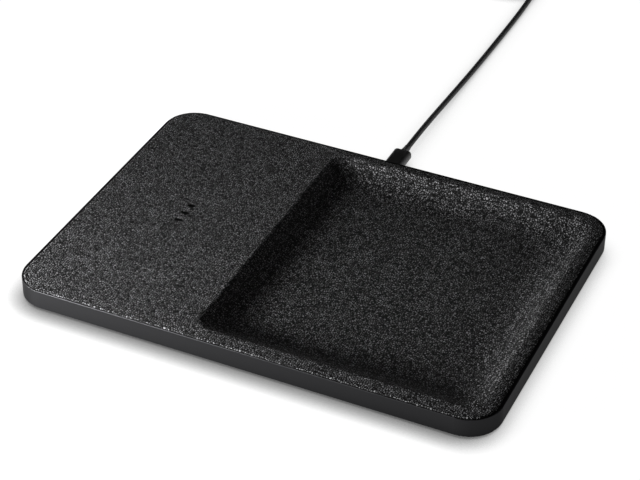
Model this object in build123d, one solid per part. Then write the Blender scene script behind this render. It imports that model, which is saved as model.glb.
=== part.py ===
from build123d import *
import os
from math import asin, atan, atan2, cos, pi, radians, sin, sqrt, tan

# Charging tray: a leather-covered wireless charging pad with a shallow valet dish beside it,
# in a thin metal frame, and its detachable lead.
# Millimetres. X runs along the tray (the pad is on the -X side), Y to the back, Z up.
# The origin is the middle of the tray's footprint, on the table.

# The tray as a whole
tray_length = 260.0
tray_width = 186.0
tray_corner = 17.7
foot_stand = 1.5
frame_height = 10.5
cover_crown = 0.6

# Walls and skins
frame_wall = 2.0
rail_width = 3.0
base_thickness = 1.8
panel_thickness = 1.6
leather_thickness = 1.0
rib_thickness = 1.4

# Clearances between pieces that meet
base_clearance = 0.2
glue_line = 0.05
cover_groove = 0.5
skirt_clearance = 0.3
floor_clearance = 0.3
screw_clearance = 0.05
foot_clearance = 0.15
board_clearance = 0.2
cut_overrun = 1.0

# Edges
frame_edge_round = 0.4
cover_bead = 1.0

# The charging pad's length, from the leather's left edge to the dish
pad_length = 97.5

# The valet dish, a shallow bowl with a rounded outline
lip_right = 7.5
lip_front = 8.25
lip_back = 6.0
dish_depth = 6.0
dish_run = 21.0
lip_round = 4.0
lip_break = 8.0
corner_front_left = 8.0
corner_back_left = 6.0
corner_right = 11.0

# The three short pressed marks that show where the phone goes
mark_count = 3
mark_length = 4.0
mark_width = 1.7
mark_depth = 0.3
mark_pitch = 7.3

# Feet and the screws that they hide
foot_radius = 7.0
foot_recess = 0.5
foot_chamfer = 0.5
foot_inset = 12.0
foot_row_inset = 29.0
middle_foot_gap = 6.0
base_screw_length = 4.8
base_screw_radius = 1.2
base_screw_head_radius = 2.4
base_screw_head_height = 1.2
boss_radius = 3.0
pilot_spare = 0.3

# Ribs under the panel
skirt_drop = 2.5
pad_rib_drop = 2.5
pad_rib_end = 5.0
dish_rib_x_shares = (0.3, 0.55, 0.8)
dish_rib_y_shares = (0.25, 0.5, 0.75)
pad_rib_shares = (-0.5, 0.0, 0.5)

# Transmitter coils, ferrite and the plastic tray that holds them
winding_share = 0.3
coil_round_share = 0.45
low_coil_gap = 2.0
coil_thickness = 1.1
ferrite_margin = 2.0
ferrite_thickness = 1.0
holder_floor = 1.0
holder_wall = 1.2
holder_clearance = 0.2
holder_stand = 2.1
holder_rim = 2.6
holder_board_gap = 2.8
ear_radius = 3.2
ear_inset = 8.4
lead_notch = 4.0
thermistor_radius = 1.4
thermistor_height = 1.0

# Small screws that hold the boards and the coil holder
small_screw_radius = 1.0
small_screw_length = 3.6
small_head_radius = 1.9
small_head_height = 1.2
post_radius = 2.5

# Main circuit board
board_left_gap = 22.5
board_right_gap = 11.5
board_depth = 31.0
board_back_gap = 0.6
board_thickness = 1.2
board_stand = 1.4
board_corner = 2.0
board_hole_inset = 4.0
board_hole_right_gap = 12.5

# Heights of what stands on the main board
chip_height = 0.9
transistor_height = 1.0
tank_capacitor_height = 2.5
inductor_height = 3.0
bulk_capacitor_height = 3.4
part_round = 0.6
can_chamfer = 0.5
terminal_depth = 4.0
terminal_front_gap = 2.0
terminal_margin = 0.6
terminal_height = 3.8

# Places from the board's left front corner, as shares of the parts' room and the board's depth
chip_share = (0.43, 0.42)
transistor_shares = ((0.61, 0.3), (0.61, 0.54), (0.77, 0.3), (0.77, 0.54), (0.93, 0.3), (0.93, 0.54))
tank_capacitor_shares = ((0.61, 0.8), (0.77, 0.8), (0.93, 0.8))
inductor_share = (0.26, 0.72)
bulk_capacitor_share = (0.442, 0.76)

# Their lengths and widths, as shares of the same two; the round capacitor's is its radius
chip_size_shares = (0.143, 0.226)
transistor_size_shares = (0.102, 0.194)
tank_capacitor_size_shares = (0.117, 0.161)
inductor_size_shares = (0.149, 0.219)
bulk_capacitor_radius_share = 0.0644

# Wires inside the tray
wire_sides = 6
coil_wire_radius = 0.45
coil_wire_spread = 0.8
coil_wire_count = 6
coil_lane_start = 5.0
coil_lane_pitch = 1.1
coil_lane_board_gap = 1.75
coil_wire_bend = 2.0
power_wire_radius = 0.6
power_wire_pitch = 1.35
power_wire_count = 4
header_length = 4.0
header_width = 6.0
header_height = 2.0
header_back_gap = 2.2

# Port board and its socket
port_board_length = 22.0
port_board_depth = 13.7
port_board_thickness = 1.0
peg_radius = 0.9
peg_rise = 0.4
peg_inset = 2.6
peg_back_gap = 10.7
port_height = 5.5
port_recess = 0.6
port_depth = 7.35
port_wall = 0.3
port_slot_clearance = 0.15
tongue_width = 6.7
tongue_thickness = 0.7
tongue_root = 1.25
tongue_reach = 4.9
tongue_seat = 0.03
tab_width = 1.2
tab_reach = 1.0
tab_thickness = 0.3

# Lead: the plug in the port
plug_width = 8.25
plug_thickness = 2.4
plug_length = 6.65
plug_wall = 0.25
plug_fit = 0.06
plug_tip_round = 0.08
tongue_slot_fit = 0.1
insert_setback = 0.2
insert_slot_depth = 4.75
plug_standoff = 0.3
grip_width = 10.4
grip_thickness = 5.6
grip_round = 2.2
grip_length = 20.0
grip_end_round = 1.3
relief_length = 6.2
relief_root_radius = 2.55
relief_tip_radius = 1.85

# Lead: the cord. The route is points along its line, from the relief's tip to the coil.
cord_radius = 1.6
cord_sides = 8
bend_share = 0.45
lead_route = (
    (0.0, 119.5, 5.5),
    (0.0, 141.5, 5.5),
    (0.3, 181.0, 3.4),
    (0.9, 219.0, 2.0),
    (1.4, 262.0, 1.6),
    (1.7, 300.0, 1.6),
    (1.6, 322.0, 2.85),
    (1.5, 338.0, 2.85),
)

# Lead: the coil of what is left over, wound in and out again in layers
coil_outer_radius = 22.3
turn_pitch = 3.9
layer_pitch = 3.9
layer_count = 4
turns_per_layer = 2.1875
climb_turns = 0.5
spans_per_turn = 4
gap_samples_per_turn = 90

# Lead: the strap round the coil
tie_width = 8.0
tie_thickness = 1.0
tie_clearance = 0.25
tie_round = 1.5
tie_turn = 0.62
tie_end_length = 9.0

# Lead: the tail, as distances along and beside the coil's last heading and heights off the table
tail_route = (
    (12.0, 0.0, 14.55),
    (24.0, -0.6, 9.4),
    (35.0, -1.4, 5.0),
    (45.0, -2.3, 4.0),
    (54.0, -3.3, 4.0),
)

# Lead: the plug at its far end
far_relief_length = 9.0
far_relief_root_radius = 3.1
far_relief_tip_radius = 1.9
far_grip_width = 15.7
far_grip_thickness = 8.0
far_grip_round = 2.0
far_grip_length = 25.0
far_grip_end_round = 1.2
far_shell_width = 12.0
far_shell_thickness = 4.5
far_shell_length = 18.75
far_shell_wall = 0.3
far_shell_round = 0.5
far_window = 2.2
far_window_spread = 5.0
far_window_setback = 5.1
far_insert_thickness = 1.85
far_insert_setback = 0.4
far_insert_clearance = 0.05

# Levels, from the table up
frame_bottom = foot_stand
frame_top = frame_bottom + frame_height
base_top = frame_bottom + base_thickness
cover_top = frame_top + cover_crown
panel_offset = leather_thickness + glue_line
under_offset = panel_offset + panel_thickness
shelf = cover_top - under_offset
holder_bottom = base_top + holder_stand
ferrite_bottom = holder_bottom + holder_floor
low_coil_bottom = ferrite_bottom + ferrite_thickness
high_coil_bottom = low_coil_bottom + coil_thickness
board_bottom = base_top + board_stand
board_top = board_bottom + board_thickness
port_board_top = base_top + port_board_thickness

# Places in plan
cover_inset = frame_wall + cover_groove
panel_inset = cover_inset + panel_offset
rail_inset = frame_wall + rail_width
half_length = tray_length / 2
half_width = tray_width / 2
pad_left = cover_inset - half_length
dish_left = pad_left + pad_length
dish_right = half_length - lip_right
dish_length = dish_right - dish_left
dish_front = lip_front - half_width
dish_back = half_width - lip_back
dish_width = dish_back - dish_front
pad_middle = (pad_left + dish_left) / 2
foot_row = half_width - foot_row_inset
foot_places = (
    (foot_inset - half_length, -foot_row),
    (foot_inset - half_length, foot_row),
    (dish_left - middle_foot_gap, -foot_row),
    (dish_left - middle_foot_gap, foot_row),
    (half_length - foot_inset, -foot_row),
    (half_length - foot_inset, foot_row),
)

# The dish's slope: a small arc over the lip runs into a large one down to the floor
bowl_round = (dish_run**2 + dish_depth**2) / (2 * dish_depth) - lip_round
steepest = asin(dish_run / (lip_round + bowl_round))

# Each corner of the dish: the axis of its round, the radius, and the turn of its quarter
quarter_turn = 90
dish_corners = (
    (dish_left + corner_front_left, dish_front + corner_front_left, corner_front_left, 2 * quarter_turn),
    (dish_right - corner_right, dish_front + corner_right, corner_right, 3 * quarter_turn),
    (dish_right - corner_right, dish_back - corner_right, corner_right, 0),
    (dish_left + corner_back_left, dish_back - corner_back_left, corner_back_left, quarter_turn),
)

# The main board, in the pad's rear half
board_x0 = pad_left + board_left_gap
board_x1 = dish_left - board_right_gap
board_y1 = half_width - rail_inset - board_back_gap
board_y0 = board_y1 - board_depth
board_screw_room = small_head_radius + board_clearance
parts_room = board_x1 - board_hole_right_gap - board_screw_room - board_x0
board_hole_xs = (board_x0 + board_hole_inset, board_x1 - board_hole_right_gap)
board_hole_ys = (board_y0 + board_hole_inset, board_y1 - board_hole_inset)
coil_lane_x = board_x1 - coil_lane_board_gap - (coil_wire_count - 1) * coil_lane_pitch
terminal_y = board_y0 + terminal_front_gap
header_y = board_y1 - header_back_gap - header_width / 2

# The coils and their holder fill the pad's length up to the wires and its width up to the board
ear_y = board_y0 - holder_board_gap - ear_radius
holder_y = 2 * (ear_y - ear_radius + holder_wall)
ferrite_y = holder_y - 2 * (holder_clearance + holder_wall)
coil_y = (ferrite_y - 2 * ferrite_margin - low_coil_gap) / 2
coil_pitch = (coil_y + low_coil_gap) / 2
coil_x = 2 * (coil_lane_x - coil_lane_start - pad_middle)
ferrite_x = coil_x + 2 * ferrite_margin
holder_x = ferrite_x + 2 * (holder_clearance + holder_wall)
winding_width = winding_share * min(coil_x, coil_y)
coil_round = coil_round_share * min(coil_x, coil_y)
ear_spread = holder_x / 2 - ear_inset
ear_places = [(pad_middle + side * ear_spread, end * ear_y) for side in (-1, 1) for end in (-1, 1)]

# The port board, its socket and the plug
port_board_back = half_width - rail_inset - board_clearance
port_board_front = port_board_back - port_board_depth
port_mouth = half_width - port_recess
port_back = port_mouth - port_depth
port_inner_width = plug_width + 2 * plug_fit
port_inner_height = plug_thickness + 2 * plug_fit
port_outer_width = port_inner_width + 2 * port_wall
port_outer_height = port_inner_height + 2 * port_wall
grip_front = half_width + plug_standoff
plug_tip = grip_front - plug_length
grip_back = grip_front + grip_length

up = Vector(0, 0, 1)


def plate(inset, low, high):
    """A slab with the tray's rounded outline, drawn in by inset all round."""
    outline = RectangleRounded(tray_length - 2 * inset, tray_width - 2 * inset, tray_corner - inset)
    return Pos(0, 0, low) * extrude(outline, high - low)


def post(place, low, high, radius):
    """An upright round post, or the hole that it would leave."""
    return Pos(place[0], place[1], low) * extrude(Circle(radius), high - low)


def slab(x0, x1, y0, y1, low, high):
    """A rectangular slab between two corners."""
    middle = Pos((x0 + x1) / 2, (y0 + y1) / 2, low)
    return middle * extrude(Rectangle(x1 - x0, y1 - y0), high - low)


def across(start, end, outline):
    """An outline in X and Z, about the port's axis, carried from start to end along Y."""
    plane = Plane(origin=(0, start, port_height), x_dir=(1, 0, 0), z_dir=(0, 1, 0))
    return extrude(plane * outline, end - start)


def dish_slope(offset, last_inset):
    """Edges down the slope as inset and height, on a face that lies offset under the leather's.

    A short straight breaks the edge, a small arc rolls over the lip, and a large arc runs down
    to last_inset, which is the floor's edge or, in a corner, the axis of its round.
    """
    lip = lip_round - offset
    bowl = bowl_round + offset

    def on_lip(angle):
        return lip * sin(angle), lip * cos(angle) - lip_round

    def on_bowl(angle):
        return dish_run - bowl * sin(angle), bowl_round - dish_depth - bowl * cos(angle)

    first = radians(lip_break)
    last = asin((dish_run - last_inset) / bowl)
    edge = (lip * tan(first / 2), -offset)
    lip_arc = (on_lip(first), on_lip((first + steepest) / 2), on_lip(steepest))
    bowl_arc = (on_bowl(steepest), on_bowl((steepest + last) / 2), on_bowl(last))
    return edge, lip_arc, bowl_arc


def slope_edges(slope, place):
    """A slope's edges, each point of inset and height put in its place."""
    edge, lip_arc, bowl_arc = slope
    return [
        Line(place(edge), place(lip_arc[0])),
        ThreePointArc(*[place(point) for point in lip_arc]),
        ThreePointArc(*[place(point) for point in bowl_arc]),
    ]


def trough(offset, near, far):
    """The outline of a trough between two opposite walls, as a face across and up."""
    slope = dish_slope(offset, dish_run)
    near_edges = slope_edges(slope, lambda point: (near + point[0], cover_top + point[1]))
    far_edges = slope_edges(slope, lambda point: (far - point[0], cover_top + point[1]))
    floor = Line(near_edges[-1] @ 1, far_edges[-1] @ 1)
    rim = Line(near_edges[0] @ 0, far_edges[0] @ 0)
    return make_face(near_edges + far_edges + [floor, rim])


def corner_wedge(offset, corner):
    """A quarter of the round hollow in one corner, turned about the corner's own axis."""
    x, y, radius, quarter = corner
    slope = dish_slope(offset, radius)
    edges = slope_edges(slope, lambda point: (radius - point[0], cover_top + point[1]))
    rim = Line((0, cover_top - offset), edges[0] @ 0)
    axis = Line((0, cover_top - offset), edges[-1] @ 1)
    profile = Plane.XZ * make_face(edges + [rim, axis])
    return Pos(x, y, 0) * Rot(0, 0, quarter) * revolve(profile, Axis.Z, revolution_arc=quarter_turn)


def dish_hollow(offset):
    """The space of the dish above a face that lies offset under the leather's."""
    along_y = Plane(origin=(0, dish_front, 0), x_dir=(1, 0, 0), z_dir=(0, -1, 0))
    along_x = Plane(origin=(dish_left, 0, 0), x_dir=(0, 1, 0), z_dir=(1, 0, 0))
    hollow = extrude(along_y * trough(offset, dish_left, dish_right), -dish_width)
    hollow &= extrude(along_x * trough(offset, dish_front, dish_back), dish_length)
    squares = []
    for x, y, radius, quarter in dish_corners:
        square = Pos(radius / 2, radius / 2, 0) * extrude(Rectangle(radius, radius), cover_top)
        squares.append(Pos(x, y, 0) * Rot(0, 0, quarter) * square)
    wedges = [corner_wedge(offset, corner) for corner in dish_corners]
    return (hollow - squares) + wedges


def cover_body(offset, inset):
    """Everything from the base plate up to a face that lies offset under the leather's."""
    return plate(inset, base_top, cover_top - offset) - dish_hollow(offset)


def leather_cover():
    """One hide over pad and dish, turned down round the panel's edge onto the frame's shelf."""
    hide = plate(cover_inset, base_top, cover_top)
    hide = fillet(hide.edges().group_by(Axis.Z)[-1], cover_bead)
    inner_inset = cover_inset + leather_thickness
    cuts = [dish_hollow(0), cover_body(leather_thickness, inner_inset)]
    cuts.append(plate(0, base_top, shelf) - plate(inner_inset, base_top, shelf))
    for step in range(mark_count):
        y = (step - (mark_count - 1) / 2) * mark_pitch
        mark = extrude(SlotOverall(mark_length, mark_width), mark_depth + cut_overrun)
        cuts.append(Pos(pad_middle, y, cover_top - mark_depth) * mark)
    hide -= cuts
    return hide


def stiffeners():
    """The skirt, ribs and screw bosses under the panel, still with their tops in the panel's skin."""
    skirt_inset = rail_inset + skirt_clearance
    skirt = plate(skirt_inset, shelf - skirt_drop, cover_top)
    skirt -= plate(skirt_inset + rib_thickness, shelf - skirt_drop, cover_top)
    pieces = [skirt]
    rib_bottom = base_top + floor_clearance
    half_rib = rib_thickness / 2
    rib_end = port_board_front - floor_clearance
    for share in dish_rib_x_shares:
        x = dish_left + share * dish_length
        pieces.append(slab(x - half_rib, x + half_rib, dish_front, rib_end, rib_bottom, cover_top))
    for share in dish_rib_y_shares:
        y = dish_front + share * dish_width
        pieces.append(slab(dish_left, dish_right, y - half_rib, y + half_rib, rib_bottom, cover_top))
    rib_front = skirt_inset - half_width
    rib_back = -ear_y - ear_radius - pad_rib_end
    for share in pad_rib_shares:
        x = pad_middle + share * holder_x
        pieces.append(slab(x - half_rib, x + half_rib, rib_front, rib_back, shelf - pad_rib_drop, cover_top))
    tip = frame_bottom + foot_recess + base_screw_length
    for place in foot_places:
        boss = post(place, base_top, cover_top, boss_radius)
        boss -= post(place, base_top, tip + pilot_spare, base_screw_radius + screw_clearance)
        pieces.append(boss)
    return pieces


def top_panel():
    """The moulded carrier under the leather: a full body less the room under its skin."""
    room = cover_body(under_offset, panel_inset) - stiffeners()
    return cover_body(panel_offset, panel_inset) - room


def side_frame():
    """The metal ring: a thin wall with a rail inside it that carries the panel and the base."""
    frame = plate(0, frame_bottom, frame_top)
    frame = fillet(frame.edges().group_by(Axis.Z)[-1], frame_edge_round)
    frame = fillet(frame.edges().group_by(Axis.Z)[0], frame_edge_round)
    frame -= plate(frame_wall, frame_bottom, base_top)
    frame -= plate(rail_inset, base_top, shelf)
    frame -= plate(frame_wall, shelf, frame_top)
    slot = SlotOverall(
        port_outer_width + 2 * port_slot_clearance,
        port_outer_height + 2 * port_slot_clearance,
    )
    return frame - across(half_width - rail_inset - cut_overrun, half_width + cut_overrun, slot)


def screw_cone(head_radius, shank_radius):
    """A countersunk head standing on its wide end, or the sink that it would leave."""
    foot_down = (Align.CENTER, Align.CENTER, Align.MIN)
    return Cone(head_radius, shank_radius, base_screw_head_height, align=foot_down)


def base_plate():
    """The bottom cover, with the foot recesses, countersinks, board posts and pegs."""
    base = plate(frame_wall + base_clearance, frame_bottom, base_top)
    recess_top = frame_bottom + foot_recess
    head_radius = base_screw_head_radius + screw_clearance
    hole_radius = base_screw_radius + screw_clearance
    for place in foot_places:
        base -= post(place, frame_bottom, recess_top, foot_radius + foot_clearance)
        sink = screw_cone(head_radius, hole_radius)
        base -= Pos(place[0], place[1], recess_top) * sink
        base -= post(place, recess_top, base_top, hole_radius)
    posts = [(place, holder_bottom) for place in ear_places]
    posts += [((x, y), board_bottom) for x in board_hole_xs for y in board_hole_ys]
    for place, top in posts:
        base += post(place, base_top, top, post_radius)
    for place, top in posts:
        seat = top + (holder_floor if top == holder_bottom else board_thickness)
        bottom = seat - small_screw_length - screw_clearance
        base -= post(place, bottom, top, small_screw_radius + screw_clearance)
    for side in (-1, 1):
        place = (side * (port_board_length / 2 - peg_inset), port_board_back - peg_back_gap)
        base += post(place, base_top, port_board_top + peg_rise, peg_radius)
    return base


def rubber_feet():
    """Six round feet, stuck into the base plate's recesses over the screw heads."""
    foot = extrude(Circle(foot_radius), foot_stand + foot_recess)
    foot = chamfer(foot.edges().group_by(Axis.Z)[0], foot_chamfer)
    return [Pos(x, y, 0) * foot for x, y in foot_places]


def base_screws():
    """Countersunk screws from below, through the base plate into the panel's bosses."""
    shank = extrude(Circle(base_screw_radius), base_screw_length)
    screw = screw_cone(base_screw_head_radius, base_screw_radius) + shank
    return [Pos(x, y, frame_bottom + foot_recess) * screw for x, y in foot_places]


def charging_coil(y, bottom):
    """One flat transmitter coil with its open window."""
    ring = RectangleRounded(coil_x, coil_y, coil_round)
    ring -= RectangleRounded(
        coil_x - 2 * winding_width,
        coil_y - 2 * winding_width,
        coil_round - winding_width,
    )
    return Pos(pad_middle, y, bottom) * extrude(ring, coil_thickness)


def ferrite_sheet():
    """The magnetic shield under the coils."""
    return Pos(pad_middle, 0, ferrite_bottom) * extrude(Rectangle(ferrite_x, ferrite_y), ferrite_thickness)


def coil_holder():
    """The shallow tray for ferrite and coils, with four screw ears and a notch for each coil's wires."""
    holder = extrude(Rectangle(holder_x, holder_y), holder_floor + holder_rim)
    pocket = Rectangle(ferrite_x + 2 * holder_clearance, ferrite_y + 2 * holder_clearance)
    holder -= Pos(0, 0, holder_floor) * extrude(pocket, holder_rim)
    holder = Pos(pad_middle, 0, holder_bottom) * holder
    for place in ear_places:
        ear = post(place, holder_bottom, ferrite_bottom, ear_radius)
        holder += ear
    for place in ear_places:
        holder -= post(place, holder_bottom, ferrite_bottom, small_screw_radius + board_clearance)
        head_room = small_head_radius + board_clearance
        holder -= post(place, ferrite_bottom, ferrite_bottom + holder_rim, head_room)
    for y in (-coil_pitch, 0, coil_pitch):
        notch = slab(
            pad_middle + ferrite_x / 2,
            pad_middle + holder_x / 2 + cut_overrun,
            y - lead_notch / 2,
            y + lead_notch / 2,
            low_coil_bottom,
            ferrite_bottom + holder_rim,
        )
        holder -= notch
    return holder


def coil_thermistor():
    """The bead that feels the coils' heat, on the ferrite in the rear coil's window."""
    top = low_coil_bottom + thermistor_height
    return post((pad_middle, coil_pitch), low_coil_bottom, top, thermistor_radius)


def main_board():
    """The board that drives the coils."""
    board = slab(board_x0, board_x1, board_y0, board_y1, board_bottom, board_top)
    board = fillet(board.edges().filter_by(Axis.Z), board_corner)
    for x in board_hole_xs:
        for y in board_hole_ys:
            board -= post((x, y), board_bottom, board_top, small_screw_radius + board_clearance)
    return board


def on_board(share, size_shares, height):
    """A flat component on the main board, its place and size given as shares of the room there."""
    x = board_x0 + share[0] * parts_room
    y = board_y0 + share[1] * board_depth
    outline = Rectangle(size_shares[0] * parts_room, size_shares[1] * board_depth)
    return Pos(x, y, board_top) * extrude(outline, height)


def power_inductor():
    """A shielded inductor: a block with rounded upright edges."""
    block = on_board(inductor_share, inductor_size_shares, inductor_height)
    return fillet(block.edges().filter_by(Axis.Z), part_round)


def bulk_capacitor():
    """A low round capacitor."""
    x = board_x0 + bulk_capacitor_share[0] * parts_room
    y = board_y0 + bulk_capacitor_share[1] * board_depth
    radius = bulk_capacitor_radius_share * parts_room
    can = post((x, y), board_top, board_top + bulk_capacitor_height, radius)
    return chamfer(can.edges().group_by(Axis.Z)[-1], can_chamfer)


def small_screws():
    """The screws of the coil holder and the main board."""
    head = extrude(Circle(small_head_radius), small_head_height)
    shank = Pos(0, 0, -small_screw_length) * extrude(Circle(small_screw_radius), small_screw_length)
    screw = head + shank
    screws = [Pos(x, y, ferrite_bottom) * screw for x, y in ear_places]
    screws += [Pos(x, y, board_top) * screw for x in board_hole_xs for y in board_hole_ys]
    return screws


def inner_wire(points, radii, radius):
    """A wire along straight runs with rounded corners."""
    line = FilletPolyline(*points, radius=radii)
    start = Plane(origin=points[0], z_dir=Vector(*points[1]) - Vector(*points[0]))
    return sweep(start * RegularPolygon(radius, wire_sides), path=line)


def coil_leads():
    """Two wires from each coil, out through its notch and back to the board's terminal block."""
    wires = []
    places = ((coil_pitch, low_coil_bottom), (0, high_coil_bottom), (-coil_pitch, low_coil_bottom))
    lane = coil_lane_x
    for coil_place, bottom in places:
        z = bottom + coil_thickness / 2
        for side in (1, -1):
            y = coil_place + side * coil_wire_spread
            corner = (lane, y, z)
            points = ((pad_middle + coil_x / 2, y, z), corner, (lane, terminal_y, z))
            wires.append(inner_wire(points, [coil_wire_bend], coil_wire_radius))
            lane += coil_lane_pitch
    return wires


def coil_terminal():
    """The block that the coils' wires are soldered to."""
    last_lane = board_x1 - coil_lane_board_gap
    reach = coil_wire_radius + terminal_margin
    return slab(
        coil_lane_x - reach,
        last_lane + reach,
        terminal_y,
        terminal_y + terminal_depth,
        board_top,
        board_top + terminal_height,
    )


def port_header():
    """The wire header on the port board, beside the socket."""
    left = -port_board_length / 2
    y = header_y
    return slab(
        left,
        left + header_length,
        y - header_width / 2,
        y + header_width / 2,
        port_board_top,
        port_board_top + header_height,
    )


def power_header():
    """The wire header on the main board's right edge."""
    return slab(
        board_x1 - header_length,
        board_x1,
        header_y - header_width / 2,
        header_y + header_width / 2,
        board_top,
        board_top + header_height,
    )


def power_lead():
    """Four wires from the port board to the main board, behind the dish."""
    start = -port_board_length / 2
    low = port_board_top + header_height / 2
    high = board_top + header_height / 2
    run = (start - board_x1) / 4
    wires = []
    for step in range(power_wire_count):
        y = header_y + (step - (power_wire_count - 1) / 2) * power_wire_pitch
        points = (
            (start, y, low),
            (start - run, y, low),
            (board_x1 + run, y, high),
            (board_x1, y, high),
        )
        wires.append(inner_wire(points, corner_radii(points), power_wire_radius))
    return wires


def port_board():
    """The small board behind the port, notched for its socket."""
    board = slab(
        -port_board_length / 2,
        port_board_length / 2,
        port_board_front,
        port_board_back,
        base_top,
        port_board_top,
    )
    half_notch = port_outer_width / 2 + board_clearance
    board -= slab(
        -half_notch,
        half_notch,
        port_back - board_clearance,
        port_board_back,
        base_top,
        port_board_top,
    )
    for side in (-1, 1):
        place = (side * (port_board_length / 2 - peg_inset), port_board_back - peg_back_gap)
        board -= post(place, base_top, port_board_top, peg_radius + board_clearance)
    return board


def port_shell():
    """The socket's steel shell, with the side tabs that are soldered to the board."""
    bore = SlotOverall(port_inner_width, port_inner_height)
    shell = across(port_back, port_mouth, SlotOverall(port_outer_width, port_outer_height) - bore)
    half_width_out = port_outer_width / 2 - port_wall
    tab_end = half_width_out + port_wall + board_clearance + tab_reach
    tab_back = port_back + tab_width
    for side in (-1, 1):
        near = side * half_width_out
        far = side * tab_end
        shell += slab(
            min(near, far),
            max(near, far),
            port_back,
            tab_back,
            port_board_top,
            port_board_top + tab_thickness,
        ) - across(port_back, tab_back, bore)
    return shell


def port_tongue():
    """The socket's insulator: a rear block with the contact tongue standing out of it."""
    block = SlotOverall(port_inner_width - 2 * tongue_seat, port_inner_height - 2 * tongue_seat)
    root_end = port_back + tongue_root
    tongue = across(root_end, root_end + tongue_reach, Rectangle(tongue_width, tongue_thickness))
    return across(port_back, root_end, block) + tongue


def plug_shell():
    """The plug's deep-drawn steel tube."""
    bore = SlotOverall(plug_width - 2 * plug_wall, plug_thickness - 2 * plug_wall)
    body = across(plug_tip, grip_front, SlotOverall(plug_width, plug_thickness))
    body = fillet(body.edges().group_by(Axis.Y)[0], plug_tip_round)
    return body - across(plug_tip, grip_front, bore)


def plug_insert():
    """The plug's insulator, with the slot that takes the socket's tongue."""
    fit = plug_wall + tongue_seat
    start = plug_tip + insert_setback
    body = across(start, grip_front, SlotOverall(plug_width - 2 * fit, plug_thickness - 2 * fit))
    mouth = Rectangle(tongue_width + 2 * tongue_slot_fit, tongue_thickness + 2 * tongue_slot_fit)
    return body - across(start, start + insert_slot_depth, mouth)


def plug_grip():
    """The moulded grip behind the plug, with rounded shoulders."""
    grip = across(grip_front, grip_back, RectangleRounded(grip_width, grip_thickness, grip_round))
    return fillet(grip.edges().group_by(Axis.Y)[-1], grip_end_round)


def tapered_relief(plane, root_radius, tip_radius, length):
    """A round relief that narrows in a hollow curve from the grip to the cord."""
    waist = (root_radius + tip_radius) / 2 - (root_radius - tip_radius) / 4
    curve = Spline((root_radius, 0), (waist, length / 2), (tip_radius, length))
    rim = Polyline((tip_radius, length), (0, length), (0, 0), (root_radius, 0))
    profile = make_face(curve + rim)
    turned = revolve(Plane.XZ * profile, Axis.Z)
    return plane * turned


def cord_way(start, end):
    """The unit direction from one point to the next."""
    return (Vector(*end) - Vector(*start)).normalized()


def corner_radii(points):
    """The largest arc for each corner of a route that both of its runs have room for."""
    radii = []
    for before, corner, after in zip(points, points[1:], points[2:]):
        run_in = Vector(*corner) - Vector(*before)
        run_out = Vector(*after) - Vector(*corner)
        half_turn = radians(run_in.get_angle(run_out)) / 2
        radii.append(bend_share * min(run_in.length, run_out.length) / tan(half_turn))
    return radii


def cord_section(start, way):
    """The cord's faceted section at a point, flat side down."""
    plane = Plane(origin=start, x_dir=way.cross(up), z_dir=way)
    half_side = 180 / cord_sides
    return plane * RegularPolygon(cord_radius, cord_sides, major_radius=False, rotation=half_side)


def cord_tube(line, start, way):
    """The cord's solid along a line."""
    return sweep(cord_section(start, way), path=line)


def cord_run(points):
    """A free stretch of cord: straight runs joined by tangent arcs."""
    line = FilletPolyline(*points, radius=corner_radii(points))
    return cord_tube(line, points[0], cord_way(points[0], points[1])), line


# The coil starts where the route ends, heading the same way, and turns to the left
coil_start = Vector(*lead_route[-1])
lead_way = cord_way(lead_route[-2], lead_route[-1])
coil_depth = turn_pitch * turns_per_layer
coil_inner_radius = coil_outer_radius - coil_depth
reversal_swing = turn_pitch / (2 * pi)
total_turns = layer_count * turns_per_layer + (layer_count - 1) * climb_turns
inward_tilt = atan(turn_pitch / (2 * pi * coil_outer_radius))
start_angle = atan2(lead_way.Y, lead_way.X) - pi / 2 - inward_tilt
first_turn_point = coil_start + lead_way * (2 * cord_radius)
coil_middle = first_turn_point - Vector(cos(start_angle), sin(start_angle), 0) * coil_outer_radius


def coil_state(turns):
    """Radius, height and their rates per turn after so many turns of the coil."""
    layer_and_climb = turns_per_layer + climb_turns
    layer = min(int(turns / layer_and_climb), layer_count - 1)
    within = turns - layer * layer_and_climb
    inward = 1 if layer % 2 == 0 else -1
    first = coil_outer_radius if inward == 1 else coil_inner_radius
    last = coil_inner_radius if inward == 1 else coil_outer_radius
    if within <= turns_per_layer:
        return first - inward * turn_pitch * within, layer * layer_pitch, -inward * turn_pitch, 0
    phase = pi * (within - turns_per_layer) / climb_turns
    radius = last - inward * reversal_swing * sin(phase)
    height = (layer + (1 - cos(phase)) / 2) * layer_pitch
    phase_rate = pi / climb_turns
    radius_rate = -inward * reversal_swing * phase_rate * cos(phase)
    return radius, height, radius_rate, layer_pitch * phase_rate * sin(phase) / 2


def coil_point(turns):
    """Where the coil's line is after so many turns."""
    radius, height, _, _ = coil_state(turns)
    angle = start_angle + 2 * pi * turns
    return coil_middle + Vector(radius * cos(angle), radius * sin(angle), height)


def coil_way(turns):
    """The direction of the coil's line after so many turns."""
    radius, _, radius_rate, height_rate = coil_state(turns)
    angle = start_angle + 2 * pi * turns
    sweep_rate = 2 * pi * radius
    return Vector(
        radius_rate * cos(angle) - sweep_rate * sin(angle),
        radius_rate * sin(angle) + sweep_rate * cos(angle),
        height_rate,
    ).normalized()


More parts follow.
